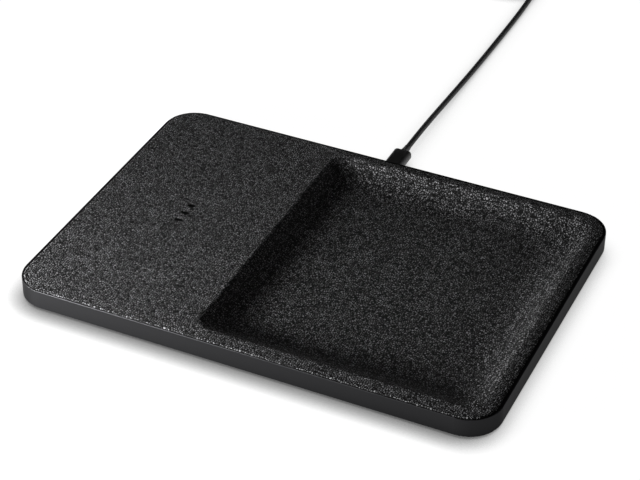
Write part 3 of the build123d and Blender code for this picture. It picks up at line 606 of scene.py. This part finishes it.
class TRAY_OT_shell(bpy.types.Operator):
    """Finishes the frame, the moulded panel and base, the feet and the screws"""

    bl_idname = "tray.shell"
    bl_label = "Finish the Shell"

    def execute(self, context):
        dress(["side_frame"], anodised_frame())
        dress(["top_panel", "base_plate", "coil_holder"], moulded_abs())
        dress(["rubber_feet"], foot_rubber())
        dress(["base_screws", "small_screws"], plated_steel())
        return {"FINISHED"}


# Inside: coils, boards, components, wires and the port


def litz_copper():
    """Enamelled copper litz, wound flat: warm metal with the fine lines of the turns."""
    material, tree, shader = start_material("enamelled_copper", Metallic=1.0)
    grain(tree, shader, size=0.5 * MM, depth=0.05 * MM,
          tones=(srgb("8a4a2c"), srgb("c4784e")), rough=(0.25, 0.4))
    return material


def sintered_ferrite():
    """Sintered ferrite sheet: dark grey ceramic, dull and slightly mottled."""
    material, tree, shader = start_material("sintered_ferrite", IOR=1.6)
    grain(tree, shader, size=1.5 * MM, depth=0.01 * MM,
          tones=(srgb("2c2c2e"), srgb("3e3e40")), rough=(0.4, 0.6))
    return material


def board_laminate():
    """Glass-epoxy laminate under green solder mask: glossy, with the weave just showing."""
    material, tree, shader = start_material("solder_masked_laminate", IOR=1.55)
    grain(tree, shader, size=0.9 * MM, depth=0.01 * MM,
          tones=(srgb("0f3d24"), srgb("1a5535")), rough=(0.2, 0.35))
    return material


def moulded_epoxy():
    """Transfer-moulded epoxy of chips and coils: matt black with a fine grit."""
    material, tree, shader = start_material("moulded_epoxy", IOR=1.55)
    grain(tree, shader, size=0.25 * MM, depth=0.01 * MM,
          tones=(srgb("1b1b1d"), srgb("2b2b2e")), rough=(0.5, 0.65))
    return material


def drawn_aluminium():
    """Drawn aluminium can of the capacitor: bright satin metal."""
    material, tree, shader = start_material("drawn_aluminium", Metallic=1.0)
    grain(tree, shader, size=0.4 * MM, depth=0.008 * MM,
          tones=(srgb("b9bbbd"), srgb("d5d6d8")), rough=(0.25, 0.35))
    return material


def wire_sleeve():
    """PVC insulation of the inner wires: smooth, soft gloss."""
    material, tree, shader = start_material("pvc_sleeve", IOR=1.53)
    grain(tree, shader, size=1.0 * MM, depth=0.01 * MM,
          tones=(srgb("7a1f1c"), srgb("8e2a26")), rough=(0.35, 0.45))
    return material


def nickel_steel():
    """Nickel-plated steel of socket and plugs: bright, a little brushed by the drawing die."""
    material, tree, shader = start_material("nickel_plated_steel", Metallic=1.0)
    grain(tree, shader, size=0.5 * MM, depth=0.006 * MM,
          tones=(srgb("a9a8a5"), srgb("c9c8c4")), rough=(0.18, 0.3))
    return material


def contact_plastic():
    """Glass-filled LCP insulator of socket and plugs: matt black."""
    material, tree, shader = start_material("glass_filled_lcp", IOR=1.6)
    grain(tree, shader, size=0.4 * MM, depth=0.01 * MM,
          tones=(srgb("141416"), srgb("232326")), rough=(0.45, 0.6))
    return material


class TRAY_OT_inside(bpy.types.Operator):
    """Finishes what the tray holds inside: coils, boards, components and wires"""

    bl_idname = "tray.inside"
    bl_label = "Finish the Inside"

    def execute(self, context):
        coils = ["charging_coil_front", "charging_coil_middle", "charging_coil_rear", "coil_leads"]
        dress(coils, litz_copper())
        dress(["ferrite_sheet"], sintered_ferrite())
        dress(["main_board", "port_board"], board_laminate())
        resin = ["controller_chip", "bridge_transistors", "tank_capacitors", "power_inductor",
                 "coil_thermistor", "coil_terminal", "power_header", "port_header"]
        dress(resin, moulded_epoxy())
        dress(["bulk_capacitor"], drawn_aluminium())
        dress(["power_lead"], wire_sleeve())
        return {"FINISHED"}


# The lead: plug, cord, coil, tie and far plug

# The cord's route from the relief's tip to the coil, in millimetres
lead_route = (
    (0.0, 119.5, 5.5),
    (0.0, 141.5, 5.5),
    (0.3, 181.0, 3.4),
    (0.9, 219.0, 2.0),
    (1.4, 262.0, 1.6),
    (1.7, 300.0, 1.6),
    (1.6, 322.0, 2.85),
    (1.5, 338.0, 2.85),
)

# The cord's route from the coil to the far plug, in millimetres
tail_route = (
    (-23.53, 364.13, 14.55),
    (-35.52, 364.73, 14.55),
    (-47.47, 365.92, 9.4),
    (-58.42, 367.26, 5.0),
    (-68.36, 368.65, 4.0),
    (-77.30, 370.10, 4.0),
)

# The coil, in millimetres: layers that spiral in and out again and climb in between
coil_middle = (-20.815, 341.681)
coil_floor = 2.85
coil_radius = 22.3
coil_pitch = 3.9
coil_layers = 4
layer_turns = 2.1875
climb_turns = 0.5
coil_swing = coil_pitch / (2 * math.pi)
coil_start_angle = math.radians(-1.236)
points_per_turn = 16


def coil_route(turns):
    """The coil's line after so many turns, as X, Y and Z: a spiral in on even layers and out on odd
    ones at a steady rate, and between layers half a turn that climbs on a cosine while the radius
    swings on by a sine."""
    stage = layer_turns + climb_turns
    layer = np.minimum(np.floor(turns / stage), coil_layers - 1)
    within = turns - layer * stage
    inward = np.where(layer % 2 == 0, 1.0, -1.0)
    depth = coil_pitch * layer_turns
    first = np.where(inward > 0, coil_radius, coil_radius - depth)
    wound = np.minimum(within, layer_turns)
    climb = np.clip((within - layer_turns) / climb_turns, 0, 1) * math.pi
    radius = first - inward * (coil_pitch * wound + coil_swing * np.sin(climb))
    height = coil_floor + (layer + (1 - np.cos(climb)) / 2) * coil_pitch
    angle = coil_start_angle + 2 * math.pi * turns
    outward = radius / math.cos(math.pi / points_per_turn)
    return np.stack([
        coil_middle[0] + outward * np.cos(angle),
        coil_middle[1] + outward * np.sin(angle),
        height,
    ], axis=-1)


def cord_points():
    """The whole cord's control points in metres: the route, the coil's turns and the tail."""
    total = coil_layers * layer_turns + (coil_layers - 1) * climb_turns
    turns = np.linspace(0, total, round(total * points_per_turn) + 1)
    return np.concatenate([np.array(lead_route), coil_route(turns), np.array(tail_route)]) * MM


def cord_jacket(colour):
    """Braided polyester sleeve: dull dark grey, speckled by its fine strands and their gaps."""
    material, tree, shader = start_material("braided_polyester", IOR=1.5)
    grain(tree, shader, size=0.45 * MM, depth=0.05 * MM,
          tones=(srgb("0c0c0d"), tuple(colour)), rough=(0.5, 0.65))
    return material


def grip_moulding():
    """Moulded TPE grip and relief: near black, a touch duller than the cord."""
    material, tree, shader = start_material("moulded_tpe", IOR=1.5)
    grain(tree, shader, size=0.5 * MM, depth=0.02 * MM,
          tones=(srgb("2a2a2b"), srgb("3c3c3d")), rough=(0.42, 0.55))
    return material


def woven_strap():
    """Black nylon hook-and-loop tape: a plain weave under a short nap."""
    material, tree, shader = start_material("woven_nylon", IOR=1.53, **{"Sheen Weight": 0.3})
    grain(tree, shader, size=0.5 * MM, depth=0.12 * MM,
          tones=(srgb("101011"), srgb("2c2c2e")), rough=(0.8, 0.95))
    return material


def make_cord(settings):
    """The cord as one open NURBS spline with a round section."""
    points = cord_points()
    curve = bpy.data.curves.new("lead_cord", "CURVE")
    curve.dimensions = "3D"
    curve.resolution_u = 6
    curve.bevel_depth = settings.radius
    curve.bevel_resolution = 5
    curve.use_fill_caps = True
    spline = curve.splines.new("NURBS")
    spline.points.add(len(points) - 1)
    weighted = np.concatenate([points, np.ones((len(points), 1))], axis=1)
    spline.points.foreach_set("co", weighted.ravel())
    spline.order_u = 3
    spline.use_endpoint_u = True
    curve.materials.append(cord_jacket(settings.jacket))
    cord = bpy.data.objects.new("lead_cord", curve)
    bpy.context.scene.collection.objects.link(cord)
    return cord


# The strap round the coil, in millimetres, at its place in turns from the coil's start
strap_width = 8.0
strap_thickness = 1.0
strap_clearance = 0.25
strap_turn = 0.62
strap_corner = 1.5
strap_end_length = 9.0
strap_rise_length = 2.5
strap_lap_gap = 0.04

# Steps round a quarter turn of the strap and round its section, and how square the section is
quarter_steps = 6
section_steps = 16
edge_squareness = 0.4
face_squareness = 0.25


def strap_path(half_width, half_height):
    """The band's middle line in the upright plane through the coil's axis, from the middle of that
    bundle: a rounded rectangle from the lap's start once round, then up by one thickness onto the
    start. Each corner is a quarter circle, so the straights between need no points of their own."""
    corner = strap_corner + strap_thickness / 2
    straight_x = half_width - corner
    straight_z = half_height - corner
    lap = strap_end_length / 2
    lapped = half_height + strap_thickness + strap_lap_gap
    turn = np.linspace(0, math.pi / 2, quarter_steps + 1)
    stages = [[(-lap, half_height)]]
    corners = (
        (straight_x, straight_z), (straight_x, -straight_z),
        (-straight_x, -straight_z), (-straight_x, straight_z))
    for quarter, (x, z) in enumerate(corners):
        swept = math.pi / 2 * (1 - quarter) - turn
        stages.append(np.stack([x + corner * np.cos(swept), z + corner * np.sin(swept)], axis=-1))
    stages.append([(-lap - strap_rise_length, half_height), (-lap, lapped), (lap, lapped)])
    return np.concatenate(stages)


def strap_section():
    """The band's section as offsets through and across it: a flat superellipse, whose sine and
    cosine are drawn out to small powers, so that it is nearly a rectangle with soft corners."""
    around = np.linspace(0, 2 * math.pi, section_steps, endpoint=False)
    sine = np.sin(around)
    cosine = np.cos(around)
    through = strap_thickness / 2 * np.sign(sine) * np.abs(sine) ** edge_squareness
    across = strap_width / 2 * np.sign(cosine) * np.abs(cosine) ** face_squareness
    return through, across


def cap_quads(ring):
    """Quads that close an even ring of point numbers with strips from side to side."""
    half = len(ring) // 2
    there = ring[:half]
    back = ring[:half - 1:-1]
    return np.stack([there[:-1], there[1:], back[1:], back[:-1]], axis=-1)


def strap_shape():
    """The strap as a closed band round the coil's bundle, with its ends lapped along the top: its
    section carried along its path. The bundle reaches from the coil's innermost turn, less what the
    strap's width cuts off inside that circle, to its outermost."""
    cord = cord_radius / MM
    bundle_inner = coil_radius - coil_pitch * layer_turns - coil_swing - cord
    inner = math.sqrt(bundle_inner**2 - (strap_width / 2) ** 2) - strap_clearance
    outer = coil_radius + coil_swing + cord + strap_clearance
    top = coil_floor + (coil_layers - 1) * coil_pitch + cord + strap_clearance
    half_width = (outer - inner) / 2 + strap_thickness / 2
    half_height = top / 2
    middle = (inner + outer) / 2
    level = (top + strap_thickness) / 2

    path = strap_path(half_width, half_height)
    step = np.gradient(path, axis=0)
    step /= np.linalg.norm(step, axis=1)[:, None]
    normal = np.stack([-step[:, 1], step[:, 0]], axis=-1)
    through, across = strap_section()
    local = path[:, None, :] + normal[:, None, :] * through[None, :, None]
    side = np.broadcast_to(across[None, :], local.shape[:2])

    angle = coil_start_angle + 2 * math.pi * strap_turn
    outward = np.array([math.cos(angle), math.sin(angle)])
    along = np.array([-math.sin(angle), math.cos(angle)])
    reach = middle + local[..., 0]
    flat = np.array(coil_middle) + reach[..., None] * outward + side[..., None] * along
    points = np.concatenate([flat, (level + local[..., 1])[..., None]], axis=-1) * MM

    rows, columns = points.shape[:2]
    rings = np.arange(rows * columns).reshape(rows, columns)
    sides = [ring_quads(ring, following) for ring, following in zip(rings[:-1], rings[1:])]
    caps = [cap_quads(rings[0]), cap_quads(rings[-1])[:, ::-1]]
    return points.reshape(-1, 3), np.concatenate(sides + caps)


class TRAY_OT_lead(bpy.types.Operator):
    """Makes the cord with its coil and tie, and finishes the plugs"""

    bl_idname = "tray.lead"
    bl_label = "Make the Lead"

    def execute(self, context):
        settings = context.scene.tray_lead
        dress(["plug_grip", "plug_relief", "far_plug_grip", "far_plug_relief"],
              grip_moulding())
        dress(["plug_shell", "far_plug_shell", "port_shell"], nickel_steel())
        dress(["plug_insert", "far_plug_insert", "port_tongue"],
              contact_plastic())
        cord = make_cord(settings)
        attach(cord, "lead")
        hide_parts("cord_lead", "cord_coil", "cord_tail")
        points, quads = strap_shape()
        strap = make_piece("coil_strap", points, quads, woven_strap())
        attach(strap, "lead")
        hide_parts("coil_tie")
        return {"FINISHED"}


# The stage: camera, floor, lamps and surroundings

# The camera's sensor in millimetres, and how near and how far it sees in metres
sensor_width = 36
camera_range = (0.05, 20)

# The floor's half width in metres, and its own light towards the camera
floor_half = 6.0
floor_lift = 1.0

# Its contact shadow: how far off a piece shades it, the share of open sky that counts as unshaded,
# the power that deepens the rest, and the direction that it leans to
contact_reach = 12 * MM
contact_open = 0.93
contact_depth = 1.42
contact_lean = (0.1, 0.65, 0.7)

# Lamps, in metres: name, place, what they face, width and depth, and brightness of the lit face
lamps = (
    ("key_softbox", (-0.275, -0.325, 0.067), (-0.1, -0.1, 0), 0.22, 0.08, 150),
    ("back_reflector", (0.42, 0.60, 0.26), (0, 0.1, 0), 0.5, 0.3, 0.6),
)

# The room's brightness, and where the backdrop starts to fade and where it ends, as the sine of the
# angle over the horizon
surroundings_strength = 0.03
backdrop_top = (0.1, 0.18)


def place_camera(settings):
    """The camera at its azimuth, elevation, distance and roll round the target."""
    azimuth = settings.azimuth
    elevation = settings.elevation
    back = Vector((
        math.sin(azimuth) * math.cos(elevation),
        -math.cos(azimuth) * math.cos(elevation),
        math.sin(elevation)))
    right = Vector((math.cos(azimuth), math.sin(azimuth), 0))
    upward = back.cross(right)
    turned_right = right * math.cos(settings.roll) + upward * math.sin(settings.roll)
    turned_up = upward * math.cos(settings.roll) - right * math.sin(settings.roll)
    data = bpy.data.cameras.new("camera")
    data.sensor_width = sensor_width
    data.lens = settings.focal_length
    data.clip_start, data.clip_end = camera_range
    camera = bpy.data.objects.new("camera", data)
    axes = Matrix((turned_right, turned_up, back)).transposed()
    place = Vector(settings.target) + back * settings.distance
    camera.matrix_world = Matrix.Translation(place) @ axes.to_4x4()
    bpy.context.scene.collection.objects.link(camera)
    bpy.context.scene.camera = camera


def floor_paint(colour):
    """Matt paper sweep: white to the camera, in reflections and through clear pieces, with the
    object's contact shadow on it, and darker to the lamps, so that it throws little light back."""
    material, tree, shader = start_material(
        "paper_sweep", Roughness=0.95, **{"Specular IOR Level": 0.1})
    seen = add_node(tree, "ShaderNodeLightPath")
    either = add_node(
        tree, "ShaderNodeMath", settings={"operation": "MAXIMUM"},
        links={0: seen.outputs["Is Camera Ray"], 1: seen.outputs["Is Glossy Ray"]})
    any_seen = add_node(
        tree, "ShaderNodeMath", settings={"operation": "MAXIMUM"},
        links={0: either.outputs["Value"], 1: seen.outputs["Is Transmission Ray"]})
    lean = add_node(
        tree, "ShaderNodeCombineXYZ",
        inputs={"X": contact_lean[0], "Y": contact_lean[1], "Z": contact_lean[2]})
    nearby = add_node(
        tree, "ShaderNodeAmbientOcclusion", settings={"samples": 8},
        inputs={"Distance": contact_reach}, links={"Normal": lean.outputs["Vector"]})
    shaded = add_node(
        tree, "ShaderNodeMapRange", inputs={"From Max": contact_open},
        links={"Value": nearby.outputs["AO"]})
    contact = add_node(
        tree, "ShaderNodeMath", settings={"operation": "POWER"},
        inputs={1: contact_depth}, links={0: shaded.outputs["Result"]})
    lift = add_node(
        tree, "ShaderNodeMath", settings={"operation": "MULTIPLY"},
        inputs={1: floor_lift}, links={0: contact.outputs["Value"]})
    glow = add_node(
        tree, "ShaderNodeMath", settings={"operation": "MULTIPLY"},
        links={0: any_seen.outputs["Value"], 1: lift.outputs["Value"]})
    paper = add_node(
        tree, "ShaderNodeMix", settings={"data_type": "RGBA"},
        inputs={6: srgb("000000"), 7: tuple(colour)}, links={0: contact.outputs["Value"]})
    tree.links.new(paper.outputs[2], shader.inputs["Base Color"])
    shader.inputs["Emission Color"].default_value = (1, 1, 1, 1)
    tree.links.new(glow.outputs["Value"], shader.inputs["Emission Strength"])
    return material


def add_lamp(name, place, target, width, depth, brightness):
    """A rectangular softbox whose face has the given brightness: its power is the brightness times
    pi times its area."""
    data = bpy.data.lights.new(name, "AREA")
    data.shape = "RECTANGLE"
    data.size = width
    data.size_y = depth
    data.energy = brightness * math.pi * width * depth
    lamp = bpy.data.objects.new(name, data)
    lamp.location = place
    lamp.visible_camera = False
    lamp.rotation_euler = (Vector(place) - Vector(target)).to_track_quat("Z", "Y").to_euler()
    bpy.context.scene.collection.objects.link(lamp)


def light_surroundings():
    """A dim even room for the object, and a white backdrop past the floor: all round to the camera,
    and low over the horizon in reflections and through clear pieces."""
    world = bpy.data.worlds.new("surroundings")
    world.use_nodes = True
    tree = world.node_tree
    tree.nodes.clear()
    seen = add_node(tree, "ShaderNodeLightPath")
    mirrored = add_node(
        tree, "ShaderNodeMath", settings={"operation": "MAXIMUM"},
        links={0: seen.outputs["Is Glossy Ray"], 1: seen.outputs["Is Transmission Ray"]})
    place = add_node(tree, "ShaderNodeTexCoord")
    direction = add_node(
        tree, "ShaderNodeSeparateXYZ", links={"Vector": place.outputs["Generated"]})
    fade_start, fade_end = backdrop_top
    low = add_node(
        tree, "ShaderNodeMapRange",
        inputs={"From Min": fade_start, "From Max": fade_end, "To Min": 1.0, "To Max": 0.0},
        links={"Value": direction.outputs["Z"]})
    reflected = add_node(
        tree, "ShaderNodeMath", settings={"operation": "MULTIPLY"},
        links={0: mirrored.outputs["Value"], 1: low.outputs["Result"]})
    white = add_node(
        tree, "ShaderNodeMath", settings={"operation": "MAXIMUM"},
        links={0: seen.outputs["Is Camera Ray"], 1: reflected.outputs["Value"]})
    strength = add_node(
        tree, "ShaderNodeMapRange", inputs={"To Min": surroundings_strength, "To Max": 1.0},
        links={"Value": white.outputs["Value"]})
    background = add_node(
        tree, "ShaderNodeBackground", inputs={"Color": (1, 1, 1, 1)},
        links={"Strength": strength.outputs["Result"]})
    add_node(tree, "ShaderNodeOutputWorld", links={"Surface": background.outputs["Background"]})
    bpy.context.scene.world = world


class TRAY_OT_stage(bpy.types.Operator):
    """Sets the camera, the floor, the lamps and the surroundings"""

    bl_idname = "tray.stage"
    bl_label = "Set the Stage"

    def execute(self, context):
        settings = context.scene.tray_stage
        context.scene.view_settings.view_transform = "Standard"
        place_camera(settings)
        corners = np.array([(-1, -1, 0), (1, -1, 0), (1, 1, 0), (-1, 1, 0)]) * floor_half
        floor = make_piece("floor", corners, np.array([(0, 1, 2, 3)]), floor_paint(settings.floor))
        for lamp in lamps:
            add_lamp(*lamp)
        light_surroundings()
        return {"FINISHED"}


class VIEW3D_PT_tray(bpy.types.Panel):
    """Lists the tray's settings and steps"""

    bl_label = "Charging Tray"
    bl_idname = "VIEW3D_PT_tray"
    bl_space_type = "VIEW_3D"
    bl_region_type = "UI"
    bl_category = "Charging Tray"

    def draw(self, context):
        for group in (context.scene.tray_hide, context.scene.tray_lead, context.scene.tray_stage):
            box = self.layout.box()
            for name in group.__annotations__:
                box.prop(group, name)
        for step in steps:
            self.layout.operator(step.bl_idname)


steps = (TRAY_OT_stage, TRAY_OT_lead, TRAY_OT_hide, TRAY_OT_shell, TRAY_OT_inside)
groups = {"tray_hide": HideSettings, "tray_lead": LeadSettings, "tray_stage": StageSettings}


def register():
    """Registers the settings, the steps and the panel, and hangs the settings on the scene."""
    for cls in (*groups.values(), *steps, VIEW3D_PT_tray):
        bpy.utils.register_class(cls)
    for name, group in groups.items():
        setattr(bpy.types.Scene, name, bpy.props.PointerProperty(type=group))


def unregister():
    """Takes the settings off the scene and unregisters the classes."""
    for name in groups:
        delattr(bpy.types.Scene, name)
    for cls in (VIEW3D_PT_tray, *reversed(steps), *reversed(groups.values())):
        bpy.utils.unregister_class(cls)


def main():
    """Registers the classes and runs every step."""
    register()
    bpy.ops.tray.stage()
    bpy.ops.tray.lead()
    bpy.ops.tray.hide()
    bpy.ops.tray.shell()
    bpy.ops.tray.inside()


if __name__ == "__main__":
    main()
